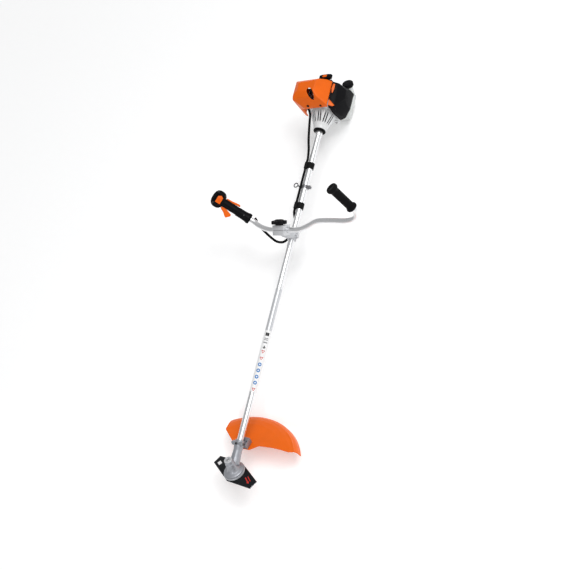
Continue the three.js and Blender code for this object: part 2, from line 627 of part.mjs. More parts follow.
const plainGrip = new THREE.Group(); // local z runs up the grip
plainGrip.position.copy(vec(GRIP_LOW));
plainGrip.quaternion.setFromUnitVectors(AXIS.z, gripAxis);
machine.add(plainGrip);

function rubberGrip() {
  const length = vec(GRIP_LOW).distanceTo(vec(GRIP_TOP));
  const profile = [[0, length + 2], [18, length + 2], [22, length - 1], [22.5, length - 7], [20, length - 13],
    [16.3, length - 17], [15.6, length / 2], [16.3, 15], [20, 11], [22, 6], [21, 1], [17, 0],
    [BAR.r + GAP + 0.2, 0], [BAR.r + GAP + 0.2, 106], [0, 106]];
  add(plainGrip, 'plain_grip', turned(profile, 20), 'rubber');
}

// the control handle's own frame: z up the handle, x towards the thumb face, y towards the palm
const THUMB_FACING = new THREE.Vector3(0.274, 0.556, 0.785);
const thumbSide = THUMB_FACING.clone().addScaledVector(handleAxis, -THUMB_FACING.dot(handleAxis)).normalize();
const palmSide = new THREE.Vector3().crossVectors(handleAxis, thumbSide);
const control = new THREE.Group();
control.applyMatrix4(basis(HANDLE_LOW, thumbSide, palmSide, handleAxis));
machine.add(control);

const HEAD = { z: 152, y: 2, halfY: 36, halfZ: 28, halfX: 17 };
const SWITCH = { halfY: 17, low: -14, high: 8, travel: 7 };
const TRIGGER = { pivotY: -15, pivotZ: 128, halfX: 7 };
const LOCKOUT = { pivotY: 18.5, pivotZ: 122, halfX: 5.5 };

// a side view (y, z) of something inside the handle, given a thickness along x
function handleSlice(outline, halfX) {
  const place = basis([-halfX, 0, 0], AXIS.y, AXIS.z, AXIS.x);
  return prism(outline, 2 * halfX).applyMatrix4(place);
}

function ovalRing(z, halfX, halfY, count = 16) {
  return Array.from({ length: count }, (_, i) => {
    const angle = (2 * Math.PI * i) / count;
    return [halfX * Math.cos(angle), halfY * Math.sin(angle), z];
  });
}

function headOutline(shrink) {
  const { z, y, halfY, halfZ } = HEAD;
  const count = 20;
  const power = 2.6; // between an ellipse and a rectangle
  return Array.from({ length: count }, (_, i) => {
    const angle = (2 * Math.PI * i) / count;
    const [c, d] = [Math.cos(angle), Math.sin(angle)];
    const reach = 1 / (Math.abs(c) ** power + Math.abs(d) ** power) ** (1 / power);
    return [y + (halfY - shrink) * reach * c, z + (halfZ - shrink) * reach * d];
  });
}

function controlHandle() {
  const barrel = loft([ovalRing(-2, 19, 21), ovalRing(6, 20.5, 23), ovalRing(16, 18, 20), ovalRing(40, 17, 19),
    ovalRing(90, 17, 19.5), ovalRing(131, 17, 20)]);
  const head = join(handleSlice(headOutline(0), HEAD.halfX - 5), handleSlice(headOutline(4), HEAD.halfX));
  const pocketY = SWITCH.halfY + 1.5;
  const switchPocket = box([8, HEAD.y - pocketY, HEAD.z + SWITCH.low - 2],
    [HEAD.halfX + 5, HEAD.y + pocketY, HEAD.z + SWITCH.high + SWITCH.travel + 1.5]);
  const fingerRoom = handleSlice([[-60, 61], [-8, 61], [-8, 131.7], [-27, 131.7], [-60, 100]], TRIGGER.halfX + 0.6);
  const leverSlot = handleSlice([[12.6, 57], [43, 57], [43, 129.4], [12.6, 129.4]], LOCKOUT.halfX + 0.6);
  const body = join(barrel, head);
  control.updateMatrixWorld(true);
  const barRoom = barAlong(BAR.r + 0.6).applyMatrix4(control.matrixWorld.clone().invert());
  add(control, 'control_handle', cut(body, switchPocket, fingerRoom, leverSlot, barRoom), 'black');
}

function handleControls() {
  const trigger = [[TRIGGER.pivotY + 4, 124], [TRIGGER.pivotY - 4, 96], [-25.5, 76], [-33, 74], [-48, 88],
    [-46, 94], [-34, 108], [-27, 122], [-22, 128]];
  add(control, 'throttle_trigger', handleSlice(trigger, TRIGGER.halfX), 'orange');
  const lockout = [[15.6, 120], [21.5, 124], [23.5, 118], [24, 100], [27, 80],
    [28.5, 66], [25, 60], [19.6, 62]];
  add(control, 'throttle_lockout', handleSlice(lockout, LOCKOUT.halfX), 'orange');
  const { halfY, low, high } = SWITCH;
  const slider = [[-halfY, low], [halfY - 6, low], [halfY, low + 10], [halfY - 7, high], [-halfY, high]]
    .map(([y, z]) => [HEAD.y + y, HEAD.z + z]);
  const place = basis([8.4, 0, 0], AXIS.y, AXIS.z, AXIS.x);
  add(control, 'stop_switch', prism(slider, 10).applyMatrix4(place), 'orange');
}

// ---- throttle cable -------------------------------------------------------------------------------------
function throttleCable() {
  const [y, z] = STRAP.cable;
  const upper = [[-24, -14.6, -18.6], [-42, -14.6, -17.6], [-62, -17, -12], [-78, -19.6, -3], [-88, -17.6, 7.5],
    [-95, y, z], [-102, y, z], [-140, y, z], [-214, y, z],
    [-285, y, z], [-328, y, z], [-340, y, z], [-380, -19, 17], [-430, -27, 27], [-500, -35, 38],
    [-536, -38, 44], [-552, -41, 54], [-558.7, -43, 66], [-560, -43, 76], [-568, -43, 88]];
  add(machine, 'throttle_cable_upper', hose(upper, CABLE_R, 38, 8), 'black');
  const lower = [[-24, -148, 84], [-20, -148, 74], [-6, -143, 62], [10, -124, 48], [30, -97, 26],
    [46, -68, 10], [44, -46, -4], [28, -34, -14], [8, -25, -19], [-8, -19, -19.4], [-22, -14.8, -18.8]];
  add(machine, 'throttle_cable_lower', hose(lower, CABLE_R, 26, 8), 'black');
}

// ---- gear head: local z is the blade's axis, x points forward ------------------------------------------
const gearHead = new THREE.Group();
gearHead.position.set(GEAR.x, 0, 0);
gearHead.rotation.y = (-GEAR.lean * Math.PI) / 180;
machine.add(gearHead);
const inward = new THREE.Vector3(-Math.cos(Math.PI / 6), 0, 0.5); // from the gears back up the tube
const onNeck = (d) => inward.clone().multiplyScalar(d);

function gearHousing() {
  const tower = turned([[0, -9], [38, -9], [38.5, -5.5], [34, -3], [26, 0], [22.5, 5], [20, 12], [18.6, 20],
    [18, 36], [16, 38], [16, 49], [14.5, 51], [0, 51]], 22);
  const neck = aim(turned([[0, 18], [20, 18], [20.5, 24], [18, 45], [17, 70], [18.5, 84], [18.5, 108], [0, 108]],
    20), [0, 0, 0], inward);
  const across = new THREE.Vector3(0, 1, 0);
  const lug = rodAt(9, onNeck(94).addScaledVector(across, -24), onNeck(94).addScaledVector(across, 24), 14);
  lug.translate(4.5, 0, 7.8);
  const gearRoom = turned([[0, -12], [15.6, -12], [15.6, 36], [0, 36]], 16);
  const pinionRoom = aim(rod(12.9, 60, 14), [0, 0, 0], inward);
  const tubeRoom = aim(rod(TUBE.r + 0.5, 80, 18), onNeck(56.5), inward);
  add(gearHead, 'gear_housing', cut(join(tower, neck, lug), gearRoom, pinionRoom, tubeRoom), 'castGrey');
}

function gearScrews() {
  const up = new THREE.Vector3(0.5, 0, 0.866); // square to the neck, pointing up
  const head = (at, direction, r) => {
    const body = rod(r, 4.5, 14);
    const socket = rod(2.6, 4, 6).translate(0, 0, 2.5);
    return aim(cut(body, socket), at, direction);
  };
  const top = onNeck(92).addScaledVector(up, 18.9);
  add(gearHead, 'gear_screw_top', head(top, up, 4.4), 'black');
  const side = onNeck(94).add(new THREE.Vector3(4.5, -24.4, 7.8));
  add(gearHead, 'gear_screw_side', head(side, new THREE.Vector3(0, -1, 0), 5), 'black');
}

function gears() {
  const shrink = 0.55;
  const pinion = bevelGear(PINION_TEETH, 10.6, 3, shrink, 9.6, 4);
  const place = basis(onNeck(21.8), new THREE.Vector3(0.5, 0, 0.866), new THREE.Vector3(0, -1, 0),
    inward.clone().negate());
  add(gearHead, 'drive_pinion', pinion.applyMatrix4(place), 'steel');
  const crown = bevelGear(CROWN_TEETH, 14.6, 3, shrink, 8.8, 4);
  crown.rotateX(Math.PI).rotateZ(Math.PI / CROWN_TEETH).translate(0, 0, 19.6);
  add(gearHead, 'crown_gear', cut(crown, rod(5.3, 60, 20).translate(0, 0, -10)), 'steel');
  add(gearHead, 'input_bearing', aim(ring(12.5, 4.4, 10, 18), onNeck(29), inward), 'steel');
  add(gearHead, 'output_bearing', ring(15.2, 5.3, 8, 18).translate(0, 0, -8.7), 'steel');
}

function outputParts() {
  const shaft = turned([[0, -38], [4.6, -38], [4.6, -9.6], [5, -9.5], [5, 34.5], [0, 34.5]], 20);
  add(gearHead, 'output_shaft', shaft, 'steel');
  const plate = turned([[5.3, -9.4], [30, -9.4], [41.4, -10.2], [GEAR.flangeR, -12.5], [GEAR.flangeR, -16.6],
    [5.3, -16.6], [5.3, -9.4]], 24);
  add(gearHead, 'thrust_plate', plate, 'castGrey');
  const rider = turned([[4.9, -20.6], [34, -20.6], [32, -23], [14, -27], [4.9, -27], [4.9, -20.6]], 20);
  add(gearHead, 'rider_plate', rider, 'steel');
  const nut = cut(rod(9.5, 8, 6), rod(4.9, 20, 20).translate(0, 0, -5)).translate(0, 0, -35.4);
  add(gearHead, 'blade_nut', nut, 'steel');
}

function blade() {
  const wing = [[9, -BLADE.r], [44, -106], [BLADE.halfWidth - 0.5, 17]];
  const outline = [...wing, ...wing.map(([x, y]) => [-x, -y])];
  const plate = prism(outline, BLADE.thick);
  const hole = rod(5.3, 20, 24).translate(0, 0, -5);
  const turn = (-31 * Math.PI) / 180;
  const body = cut(plate, hole).rotateZ(turn).translate(0, 0, BLADE.top - BLADE.thick);
  add(gearHead, 'blade', body, 'blade');
}

function guard() {
  const { rimR, top, thick } = GUARD;
  const outer = [[60, top - 5], [110, top - 1], [160, top + 2], [200, top + 1], [225, top - 3], [240, top - 8],
    [250, top - 15], [256, top - 24], [rimR, top - 40]];
  const inner = outer.map(([r, z]) => [r - thick * (r > 215 ? 1 : 0), z - thick * (r < 245 ? 1 : 0)]);
  const bowl = turned([...outer, ...inner.reverse(), outer[0]], 48);
  const arc = (from, to, r) => Array.from({ length: 10 }, (_, i) => {
    const angle = ((from + ((to - from) * i) / 9) * Math.PI) / 180;
    return [-r * Math.cos(angle), r * Math.sin(angle)];
  });
  const outline = [[-84, -28], [-84, 30], [-108, 62], [-112, 120], [-112, 194], ...arc(60, -30, 290),
    [-150, -124], [-112, -72]];
  const footprint = prism(outline, 120).translate(0, 0, -60);
  add(gearHead, 'guard', common(bowl, footprint), 'orange');

  const foot = box([-118, -26, top + 0.6], [-84, 26, top + 24]);
  const neckRoom = aim(rod(18.5 + GAP, 130, 28), onNeck(10), inward);
  const earHole = rod(3.4, 40, 12).translate(-101, 20, top);
  add(gearHead, 'guard_bracket', cut(foot, neckRoom, earHole), 'castGrey');
}

// ---- build ------------------------------------------------------------------------------------------------
[crankcase, cylinder, sparkPlug, pistonAndRod, crankshaft, flywheel, clutch, fanHousing, ignitionModule,
  starterHousing, starterRope, starterGrip, shroud, filterCover, carburettor, muffler, coverClip,
  chokeLever, fuelTank, engineStand, driveTube, driveLine, carryingRing, clampBlocks, clampKnob,
  handlebar, rubberGrip, controlHandle, handleControls, throttleCable, gearHousing, gearScrews, gears,
  outputParts, blade, guard].forEach((make) => make());
strap('cable_strap_rear', -321);
strap('cable_strap_front', -132);

const group = new THREE.Group();
group.add(machine);
group.updateMatrixWorld(true);
const bounds = new THREE.Box3().setFromObject(group, true);
const middle = bounds.getCenter(new THREE.Vector3());
machine.position.set(-middle.x, -middle.y, -bounds.min.z);
group.updateMatrixWorld(true);

export default group;
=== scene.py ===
import json
import math

import bmesh
import bpy
from mathutils import Matrix, Vector


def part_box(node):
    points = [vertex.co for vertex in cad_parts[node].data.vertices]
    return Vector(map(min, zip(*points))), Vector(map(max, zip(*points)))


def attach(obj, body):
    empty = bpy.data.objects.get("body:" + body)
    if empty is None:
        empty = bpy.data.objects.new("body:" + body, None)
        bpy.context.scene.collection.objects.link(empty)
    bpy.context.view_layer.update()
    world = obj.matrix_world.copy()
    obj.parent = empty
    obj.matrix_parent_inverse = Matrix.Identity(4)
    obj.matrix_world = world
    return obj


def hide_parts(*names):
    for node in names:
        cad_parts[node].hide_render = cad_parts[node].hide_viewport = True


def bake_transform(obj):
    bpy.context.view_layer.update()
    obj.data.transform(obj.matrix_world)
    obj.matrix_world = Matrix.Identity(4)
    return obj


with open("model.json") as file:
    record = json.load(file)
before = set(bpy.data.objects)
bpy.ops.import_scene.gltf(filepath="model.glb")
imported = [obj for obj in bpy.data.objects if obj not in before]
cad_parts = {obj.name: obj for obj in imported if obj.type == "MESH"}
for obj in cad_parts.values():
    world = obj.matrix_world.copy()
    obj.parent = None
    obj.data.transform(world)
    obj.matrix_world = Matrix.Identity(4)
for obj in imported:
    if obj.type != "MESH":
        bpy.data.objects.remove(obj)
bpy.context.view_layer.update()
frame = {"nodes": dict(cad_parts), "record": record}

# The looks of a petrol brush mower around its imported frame. Lengths in the helpers below are in
# millimetres from the crossing of the drive tube's axis and the handlebar clamp, with +X running
# forward along the tube, and mm() turns them into metres in the frame.

TUBE_R, TUBE_BORE, TUBE_REAR, TUBE_FRONT = 13, 11, -498, 915
LOW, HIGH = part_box("drive_tube")
ORIGIN = Vector((LOW.x - TUBE_REAR / 1000, (LOW.y + HIGH.y) / 2, (LOW.z + HIGH.z) / 2))
BODY_OF = {n: b for b, nodes in frame["record"]["behaviour"]["bodies"].items() for n in nodes}
SLOT_OF = {s["node"]: s["material_slot"] for s in frame["record"]["subparts"]}


def mm(x, y, z):
    return ORIGIN + Vector((x, y, z)) / 1000


PLACE = Matrix.Translation(ORIGIN) @ Matrix.Scale(0.001, 4)
GEAR_X, GEAR_LEAN = 972, math.radians(30)
GEAR = PLACE @ Matrix.Translation((GEAR_X, 0, 0)) @ Matrix.Rotation(-GEAR_LEAN, 4, "Y")
GEAR_UP = (GEAR.to_3x3() @ Vector((0, 0, 1))).normalized()
INWARD = Vector((-math.cos(GEAR_LEAN), 0, math.sin(GEAR_LEAN)))  # from the gears up the tube, in GEAR
ALONG_X = PLACE @ Matrix.Rotation(math.pi / 2, 4, "Y")  # local +Z runs forward along the tube


# ---- materials -----------------------------------------------------------------------------------
class Nodes:
    """A material being wired: add() makes a node, link() joins two sockets."""

    def __init__(self, name):
        self.material = bpy.data.materials.new(name)
        self.material.use_nodes = True
        self.tree = self.material.node_tree
        self.shader = self.tree.nodes["Principled BSDF"]

    def add(self, kind):
        return self.tree.nodes.new(kind)

    def link(self, a, b):
        self.tree.links.new(a, b)

    def place(self, stretch):
        where = self.add("ShaderNodeTexCoord")
        mapping = self.add("ShaderNodeMapping")
        mapping.inputs["Scale"].default_value = stretch
        self.link(where.outputs["Object"], mapping.inputs["Vector"])
        return mapping.outputs["Vector"]

    def noise(self, scale, detail, stretch=(1, 1, 1)):
        node = self.add("ShaderNodeTexNoise")
        node.inputs["Scale"].default_value = scale
        node.inputs["Detail"].default_value = detail
        node.inputs["Roughness"].default_value = 0.6
        self.link(self.place(stretch), node.inputs["Vector"])
        return node.outputs["Fac"]

    def spread(self, source, low, high, start=0.3, end=0.7):
        node = self.add("ShaderNodeMapRange")
        node.inputs["From Min"].default_value = start
        node.inputs["From Max"].default_value = end
        node.inputs["To Min"].default_value = low
        node.inputs["To Max"].default_value = high
        self.link(source, node.inputs["Value"])
        return node.outputs["Result"]

    def mix(self, factor, a, b):
        node = self.add("ShaderNodeMix")
        node.data_type = "RGBA"
        self.link(factor, node.inputs[0])
        for socket, value in ((node.inputs[6], a), (node.inputs[7], b)):
            if isinstance(value, bpy.types.NodeSocket):
                self.link(value, socket)
            else:
                socket.default_value = (*value, 1)
        return node.outputs[2]

    def bump(self, height, depth):
        node = self.add("ShaderNodeBump")
        node.inputs["Strength"].default_value = 1.0
        node.inputs["Distance"].default_value = depth / 1000
        self.link(height, node.inputs["Height"])
        return node.outputs["Normal"]

    def edges(self):
        where = self.add("ShaderNodeNewGeometry")
        return self.spread(where.outputs["Pointiness"], 0.0, 1.0, start=0.52, end=0.60)


def tint(colour, factor):
    return tuple(min(1.0, c * factor) for c in colour)


def surface(name, colour, roughness, metallic=0.0, grain=1500, depth=0.04, change=0.06, stretch=(1, 1, 1),
            worn=None, coat=0.0, scatter=0.0, shine=0.5):
    """A finish with slow colour drift, fine grain in its roughness and bump, and worn edges."""
    n = Nodes(name)
    slow = n.noise(22, 4)
    fine = n.noise(grain, 3, stretch)
    base = n.mix(n.spread(slow, 0, 1), tint(colour, 1 - change), tint(colour, 1 + change))
    if worn is not None:
        base = n.mix(n.edges(), base, worn)
    n.link(base, n.shader.inputs["Base Color"])
    n.link(n.spread(fine, roughness * 0.82, min(1, roughness * 1.18)), n.shader.inputs["Roughness"])
    n.link(n.bump(fine, depth), n.shader.inputs["Normal"])
    n.shader.inputs["Metallic"].default_value = metallic
    n.shader.inputs["Specular IOR Level"].default_value = shine
    n.shader.inputs["Coat Weight"].default_value = coat
    n.shader.inputs["Coat Roughness"].default_value = 0.12
    n.shader.inputs["Subsurface Weight"].default_value = scatter
    n.shader.inputs["Subsurface Radius"].default_value = (0.004, 0.004, 0.003)
    return n.material


ORANGE = (0.84, 0.135, 0.003)
LOOK = {
    "orange_plastic": surface("orange_moulding", ORANGE, 0.36, grain=2600, depth=0.02, change=0.035,
                              coat=0.04, shine=0.22),
    "black_plastic": surface("black_moulding", (0.006, 0.006, 0.007), 0.38, grain=2200, depth=0.05,
                             worn=(0.014, 0.014, 0.015), shine=0.05),
    "white_plastic": surface("white_moulding", (0.74, 0.75, 0.755), 0.4, grain=1800, depth=0.03,
                             change=0.03),
    "tank_plastic": surface("tank_polyethylene", (0.66, 0.68, 0.67), 0.42, grain=700, depth=0.05,
                            change=0.05, scatter=0.35),
    "cast_alloy": surface("cast_alloy", (0.55, 0.56, 0.58), 0.46, 0.9, grain=1100, depth=0.12,
                          worn=(0.8, 0.8, 0.8)),
    "cast_grey": surface("cast_grey_coat", (0.36, 0.37, 0.4), 0.42, 0.55, grain=1300, depth=0.09,
                         worn=(0.62, 0.63, 0.65)),
    "alloy_tube": surface("drawn_tube", (0.86, 0.865, 0.875), 0.32, 0.96, grain=900, depth=0.004,
                          change=0.03, stretch=(0.02, 1, 1)),
    "steel": surface("machined_steel", (0.56, 0.56, 0.57), 0.3, 1.0, grain=1500, depth=0.03),
    "black_screw": surface("black_oxide", (0.012, 0.012, 0.013), 0.35, 0.6, grain=2000, depth=0.03,
                           worn=(0.16, 0.16, 0.16)),
    "rubber": surface("black_rubber", (0.006, 0.006, 0.0065), 0.5, grain=1700, depth=0.06,
                      worn=(0.012, 0.012, 0.012), shine=0.05),
    "bronze_bush": surface("sintered_bronze", (0.42, 0.27, 0.1), 0.4, 1.0, grain=1800, depth=0.06),
    "blade_steel": surface("blackened_blade", (0.011, 0.012, 0.014), 0.4, 0.2, grain=1200, depth=0.05,
                           shine=0.15),
    "foam": surface("filter_foam", (0.16, 0.17, 0.14), 0.95, grain=900, depth=0.6, change=0.2),
}
SILVER = surface("blasted_casting", (0.6, 0.61, 0.63), 0.5, 0.6, grain=1500, depth=0.1,
                 worn=(0.78, 0.78, 0.79))
WIRE = surface("zinc_wire", (0.2, 0.2, 0.21), 0.36, 0.9, grain=1500, depth=0.04, worn=(0.5, 0.5, 0.5))
BRACKET = surface("shaded_casting", (0.2, 0.19, 0.215), 0.46, 0.5, grain=1300, depth=0.09,
                  worn=(0.4, 0.4, 0.42))
GROUND_EDGE = surface("ground_edge", (0.5, 0.5, 0.51), 0.26, 1.0, grain=1400, depth=0.02)
RED = surface("red_print", (0.6, 0.02, 0.012), 0.4, grain=2400, depth=0.01)
BLUE = surface("blue_print", (0.02, 0.19, 0.52), 0.4, grain=2400, depth=0.01)
BLACK = surface("black_print", (0.008, 0.008, 0.008), 0.4, grain=2400, depth=0.01)
WHITE = surface("white_print", (0.84, 0.84, 0.84), 0.42, grain=2400, depth=0.01, change=0.02)
GREY = surface("grey_print", (0.22, 0.22, 0.23), 0.42, grain=2400, depth=0.01)
PALE_GREY = surface("pale_grey_print", (0.6, 0.61, 0.63), 0.36, 0.4, grain=2400, depth=0.01, change=0.02)


# ---- mesh helpers --------------------------------------------------------------------------------
WELD = 1e-6  # in metres


def link(name, mesh, look):
    """A new object in the scene, in one finish."""
    obj = bpy.data.objects.new(name, mesh)
    bpy.context.scene.collection.objects.link(obj)
    mesh.materials.clear()
    mesh.materials.append(look)
    return obj


def tidy(mesh, sharp=35):
    """Welds a mesh, turns its faces outwards and shades it smooth up to an edge angle."""
    work = bmesh.new()
    work.from_mesh(mesh)
    bmesh.ops.remove_doubles(work, verts=work.verts, dist=WELD)
    bmesh.ops.recalc_face_normals(work, faces=work.faces)
    work.to_mesh(mesh)
    work.free()
    mesh.shade_smooth()
    mesh.set_sharp_from_angle(angle=math.radians(sharp))


def baked(obj):
    """Applies every modifier of an object to its mesh."""
    graph = bpy.context.evaluated_depsgraph_get()
    mesh = bpy.data.meshes.new_from_object(obj.evaluated_get(graph))
    looks = list(obj.data.materials)
    obj.modifiers.clear()
    obj.data = mesh
    if not mesh.materials:
        for look in looks:
            mesh.materials.append(look)
    return obj


def bevel(obj, width, segments=3, angle=35, sharp=35):
    """Rolls the edges that are sharper than an angle; the width is in millimetres."""
    step = obj.modifiers.new("edges", "BEVEL")
    step.width = width / 1000
    step.segments = segments
    step.limit_method = "ANGLE"
    step.angle_limit = math.radians(angle)
    step.use_clamp_overlap = True
    baked(obj)
    obj.data.shade_smooth()
    obj.data.set_sharp_from_angle(angle=math.radians(sharp))
    return obj


def carve(obj, knife):
    """Cuts the knife out of a piece and deletes the knife."""
    step = obj.modifiers.new("cut", "BOOLEAN")
    step.operation = "DIFFERENCE"
    step.object = knife
    baked(obj)
    bpy.data.objects.remove(knife)


def settle(obj, body, slot, *replaced):
    """Says which body a piece rides on by hanging it on that body's empty, and hides the nodes it replaces;
    the slot is not used.
    """
    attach(obj, body)
    if replaced:
        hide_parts(*replaced)
    return obj


def copy_of(node, look=None):
    """A separate copy of the frame's piece, which stays as it is."""
    source = frame["nodes"][node]
    mesh = source.data.copy()
    obj = link(node + "_skin", mesh, look or LOOK[SLOT_OF[node]])
    tidy(mesh)
    return obj


def crisp(node, width, segments, look=None, angle=35):
    """The frame's piece with rolled edges."""
    obj = copy_of(node, look)
    bevel(obj, width, segments, angle)
    return settle(obj, BODY_OF[node], SLOT_OF[node], node)


def rounded(obj, voxel, passes):
    """Remeshes a piece on a fine grid and relaxes its edges."""
    step = obj.modifiers.new("grid", "REMESH")
    step.mode = "VOXEL"
    step.voxel_size = voxel / 1000
    smooth = obj.modifiers.new("fillet", "SMOOTH")
    smooth.factor = 0.5
    smooth.iterations = passes
    baked(obj)
    obj.data.shade_smooth()
    return obj


def moulded(node, voxel, passes, look=None):
    """The frame's piece as a casting or moulding: all its edges and inside corners are filleted."""
    return settle(rounded(copy_of(node, look), voxel, passes), BODY_OF[node], SLOT_OF[node], node)


def made(name, verts, faces, look, place=PLACE, sharp=35):
    """A piece from vertices in millimetres in a local frame."""
    mesh = bpy.data.meshes.new(name)
    mesh.from_pydata([place @ Vector(v) for v in verts], [], faces)
    obj = link(name, mesh, look)
    tidy(mesh, sharp)
    return obj


def aimed(origin, direction):
    """A frame at an origin whose local +Z points along a direction."""
    turn = Vector((0, 0, 1)).rotation_difference(Vector(direction)).to_matrix().to_4x4()
    return PLACE @ Matrix.Translation(origin) @ turn


def lathe(name, profile, look, place=PLACE, sides=72, sharp=35, closed=True, ribs=None):
    """A profile of (radius, height) pairs turned about the local Z; a zero radius closes on the axis.
    ribs = (count, depth, radius) waves the wall wherever the profile is wider than the radius."""
    def wide(r, angle):
        if ribs is None or r <= ribs[2]:
            return r
        return r - ribs[1] * (0.5 - 0.5 * math.cos(ribs[0] * angle))

    verts, rings = [], []
    for r, z in profile:
        if r <= 1e-6:
            rings.append([len(verts)])
            verts.append((0, 0, z))
        else:
            rings.append(list(range(len(verts), len(verts) + sides)))
            verts += [(wide(r, a) * math.cos(a), wide(r, a) * math.sin(a), z)
                      for a in (2 * math.pi * i / sides for i in range(sides))]
    faces = []
    pairs = list(zip(rings, rings[1:]))
    if closed and profile[0][0] > 0 and profile[-1][0] > 0:
        pairs.append((rings[-1], rings[0]))
    for a, b in pairs:
        for i in range(sides):
            quad = [a[i % len(a)], a[(i + 1) % len(a)], b[(i + 1) % len(b)], b[i % len(b)]]
            quad = list(dict.fromkeys(quad))
            if len(quad) > 2:
                faces.append(quad)
    return made(name, verts, faces, look, place, sharp)


def curve(points, count):
    """A smooth path through the points, evenly sampled."""
    pts = [Vector(p) for p in points]
    pts = [2 * pts[0] - pts[1], *pts, 2 * pts[-1] - pts[-2]]
    fine = []
    for a, b, c, d in zip(pts, pts[1:], pts[2:], pts[3:]):
        for i in range(24):
            t = i / 24
            fine.append(0.5 * (2 * b + (c - a) * t + (2 * a - 5 * b + 4 * c - d) * t * t
                               + (3 * b - a - 3 * c + d) * t ** 3))
    fine.append(pts[-2])
    total = [0.0]
    for a, b in zip(fine, fine[1:]):
        total.append(total[-1] + (b - a).length)
    out, k = [], 0
    for i in range(count):
        goal = total[-1] * i / (count - 1)
        while k < len(fine) - 2 and total[k + 1] < goal:
            k += 1
        span = total[k + 1] - total[k]
        out.append(fine[k].lerp(fine[k + 1], (goal - total[k]) / span if span else 0))
    return out


def pipe(name, points, radius, look, steps, sides, wave=None):
    """A round tube along a smooth path; wave(distance) changes its radius, both in millimetres."""
    path = curve(points, steps)
    tangent = [(path[min(i + 1, steps - 1)] - path[max(i - 1, 0)]).normalized() for i in range(steps)]
    side = tangent[0].orthogonal().normalized()
    verts, faces, gone = [], [], 0.0
    for i, (p, t) in enumerate(zip(path, tangent)):
        side = (side - t * side.dot(t)).normalized()
        other = t.cross(side)
        gone += (p - path[i - 1]).length if i else 0
        r = radius + (wave(gone) if wave else 0)
        verts += [p + r * (side * math.cos(a) + other * math.sin(a))
                  for a in (2 * math.pi * j / sides for j in range(sides))]
    for i in range(steps - 1):
        for j in range(sides):
            k = (j + 1) % sides
            faces.append([i * sides + j, i * sides + k, (i + 1) * sides + k, (i + 1) * sides + j])
    faces.append(list(range(sides))[::-1])
    faces.append([(steps - 1) * sides + j for j in range(sides)])
    return made(name, verts, faces, look, sharp=50)


def plate(name, outline, low, high, look, place=PLACE, width=0.5, segments=3):
    """An outline extruded along the local Z with rolled edges."""
    count = len(outline)
    verts = [(x, y, z) for z in (low, high) for x, y in outline]
    faces = [list(range(count))[::-1], list(range(count, 2 * count))]
    faces += [[i, (i + 1) % count, (i + 1) % count + count, i + count] for i in range(count)]
    obj = made(name, verts, faces, look, place)
    return bevel(obj, width, segments) if width else obj


def screw_head(name, place, r, body, slot, height):
    """A round head with a recess, facing the local +Z."""
    rim = [(r, 0), (r, height * 0.7), (r * 0.86, height), (r * 0.5, height), (r * 0.46, height * 0.35),
           (0, height * 0.35)]
    return settle(lathe(name, [(0, 0), *rim], LOOK[slot], place, 24, 30, closed=False), body, slot)


def oval(count):
    """A unit outline between an ellipse and a rectangle."""
    out = []
    for i in range(count):
        c, d = math.cos(2 * math.pi * i / count), math.sin(2 * math.pi * i / count)
        reach = (abs(c) ** 3 + abs(d) ** 3) ** (-1 / 3)
        out.append((c * reach, d * reach))
    return out


def round_mark(r, count=28):
    angles = [2 * math.pi * i / count for i in range(count)]
    return [(r * math.cos(angle), r * math.sin(angle)) for angle in angles]


def polygon(corners, steps=5):
    """A closed outline with points along its sides, so that it wraps closely."""
    out = []
    for (ax, ay), (bx, by) in zip(corners, corners[1:] + corners[:1]):
        out += [(ax + (bx - ax) * i / steps, ay + (by - ay) * i / steps) for i in range(steps)]
    return out


def oblong(half_u, half_v):
    return polygon([(-half_u, -half_v), (half_u, -half_v), (half_u, half_v), (-half_u, half_v)])


# ---- engine --------------------------------------------------------------------------------------
FILLER_BASE, FILLER_AXIS = (-717, 57, -76), (-0.36, 0.1, 0.928)
ROPE_XY, ROPE_R = (-680, 33), 1.9  # the starter rope runs along Z
FACING_FRONT = Matrix.Rotation(math.pi / 2, 4, "Y")
PLUG_OPENING = {"half_length": 23, "half_width": 12, "centre": (-586, -3, 0), "turn": 0.55}
BELL = [(57, -566), (55, -558), (49, -541), (43, -526), (36, -510), (30, -497), (27, -483)]  # (radius, x)
BELL_SLOTS = {"angles": (-60, -24, 12, 48, 84), "sides": (-5, 5), "x": -530, "z": 45, "slope": 0.36}
BELL_SHADE_FRONT, BELL_SHADE_DEPTH = -492, 1.4  # forward of this x the bell stays white; behind it, faces deeper than this under the bell's surface are painted black as painted shade inside the housing


def bell_radius(x):
    for (r0, x0), (r1, x1) in zip(BELL, BELL[1:]):
        if x0 <= x <= x1:
            return r0 + (r1 - r0) * (x - x0) / (x1 - x0)
    return 0


def bell_housing():
    """The white housing with long slots in its bell; whatever lies under the bell's skin is painted black,
    as painted shade inside the housing.
    """
    housing = copy_of("fan_housing")
    rounding, half_width, stretch = 23, 2.4, 3
    slot = [(x * rounding + (stretch if x > 0 else -stretch), y * half_width) for x, y in round_mark(1, 20)]
    for angle in BELL_SLOTS["angles"]:
        for side in BELL_SLOTS["sides"]:
            place = (PLACE @ Matrix.Rotation(math.radians(-angle), 4, "X")
                     @ Matrix.Translation((BELL_SLOTS["x"], side, BELL_SLOTS["z"]))
                     @ Matrix.Rotation(BELL_SLOTS["slope"], 4, "Y"))
            carve(housing, plate("knife", slot, -7, 20, LOOK["white_plastic"], place, 0))
    rounded(housing, 0.9, 5)
    # the black moulding as a second finish: painted shade on the faces inside the bell
    housing.data.materials.append(LOOK["black_plastic"])
    for face in housing.data.polygons:
        x, y, z = (face.center - ORIGIN) * 1000
        if x < BELL_SHADE_FRONT and math.hypot(y, z) < bell_radius(x) - BELL_SHADE_DEPTH:
            face.material_index = 1
    settle(housing, "machine", "white_plastic", "fan_housing")


